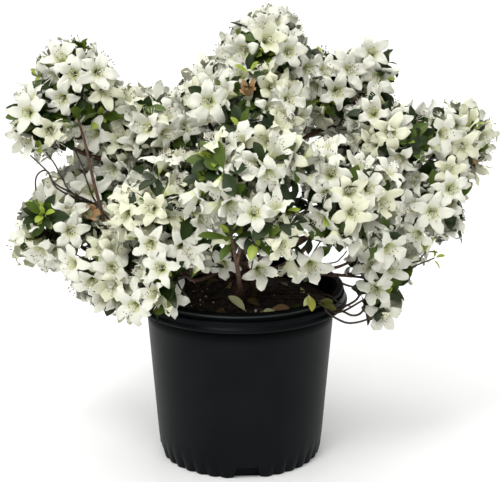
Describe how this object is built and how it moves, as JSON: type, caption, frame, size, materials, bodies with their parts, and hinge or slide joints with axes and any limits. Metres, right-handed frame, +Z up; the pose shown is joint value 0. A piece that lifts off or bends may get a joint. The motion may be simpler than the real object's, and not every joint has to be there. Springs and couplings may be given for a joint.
{
  "type": "potted azalea shrub",
  "caption": "Evergreen azalea shrub in full white bloom: a short trunk forks into arching boughs with masses of blossom, in a round tapered nursery pot of potting mix.",
  "frame": {"origin": "middle of the pot's flat underside", "axes": "+Z up, -Y towards the side it is seen from, +X to the right of that view"},
  "size_m": [0.6395, 0.5067, 0.5901],
  "materials": {
    "pot": "black moulded nursery plastic with a soft satin sheen",
    "potting_mix": "loose dark bark and peat mix",
    "bark": "rough reddish-brown bark",
    "bloom": "soft matt white petals and glossy green leaves"
  },
  "bodies": {
    "root": {"pot": "pot", "potting_mix": "potting_mix", "trunk": "bark", "bough_high_left": "bark", "bough_front_left": "bark", "bough_crown_top": "bark", "bough_front_centre": "bark", "bough_front_right": "bark", "bough_right_shoulder": "bark", "bough_back_left": "bark", "bough_back_centre": "bark", "bough_back_right": "bark", "bough_left_belly": "bark", "bough_far_left": "bark", "bough_left_shoulder": "bark", "bough_left_heart": "bark", "bough_upper_left": "bark", "bough_upper_front": "bark", "bough_top_right": "bark", "bough_top_right_tip": "bark", "bough_low_left": "bark", "bough_low_left_tip": "bark", "bough_front_low_left": "bark", "bough_front_low_centre": "bark", "bough_far_right": "bark", "bough_right_belly": "bark", "bough_low_right": "bark", "bough_back_low_left": "bark", "bough_back_low_centre": "bark", "bough_back_low_right": "bark", "bough_back_top": "bark", "bloom_high_left": "bloom", "bloom_front_left": "bloom", "bloom_crown_top": "bloom", "bloom_front_centre": "bloom", "bloom_front_right": "bloom", "bloom_right_shoulder": "bloom", "bloom_back_left": "bloom", "bloom_back_centre": "bloom", "bloom_back_right": "bloom", "bloom_left_belly": "bloom", "bloom_far_left": "bloom", "bloom_left_shoulder": "bloom", "bloom_left_heart": "bloom", "bloom_upper_left": "bloom", "bloom_upper_front": "bloom", "bloom_top_right": "bloom", "bloom_top_right_tip": "bloom", "bloom_low_left": "bloom", "bloom_low_left_tip": "bloom", "bloom_front_low_left": "bloom", "bloom_front_low_centre": "bloom", "bloom_far_right": "bloom", "bloom_right_belly": "bloom", "bloom_low_right": "bloom", "bloom_back_low_left": "bloom", "bloom_back_low_centre": "bloom", "bloom_back_low_right": "bloom", "bloom_back_top": "bloom"}
  },
  "joints": []
}
